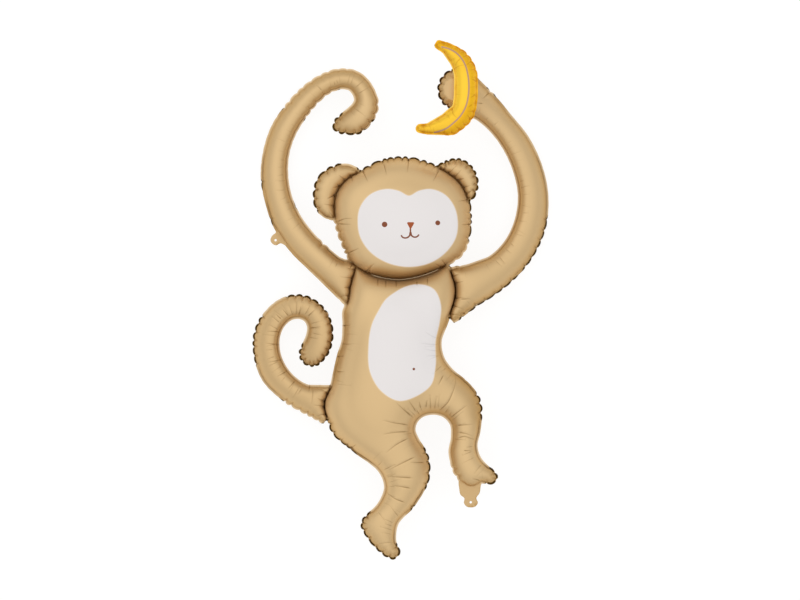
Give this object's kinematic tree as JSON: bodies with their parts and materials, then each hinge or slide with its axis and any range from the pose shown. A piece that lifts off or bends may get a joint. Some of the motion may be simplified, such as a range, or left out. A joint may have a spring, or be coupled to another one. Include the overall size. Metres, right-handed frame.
{
  "type": "monkey foil balloon",
  "caption": "Foil balloon in the shape of a hanging monkey with raised arms and a curled tail, holding a small banana balloon, lying on its back.",
  "frame": {"origin": "middle of the underside's bounding box, on the floor that the balloon lies on", "axes": "+Y towards the top of the head and the raised hands, +Z out of the face, +X towards the hand with the banana"},
  "size_m": [0.7436, 1.2978, 0.1986],
  "materials": {
    "monkey_foil": "satin metallic foil, printed with a white face and belly",
    "banana_foil": "satin metallic foil, printed with one grey line"
  },
  "bodies": {
    "root": {"monkey_balloon": "monkey_foil", "banana_balloon": "banana_foil"}
  },
  "joints": []
}
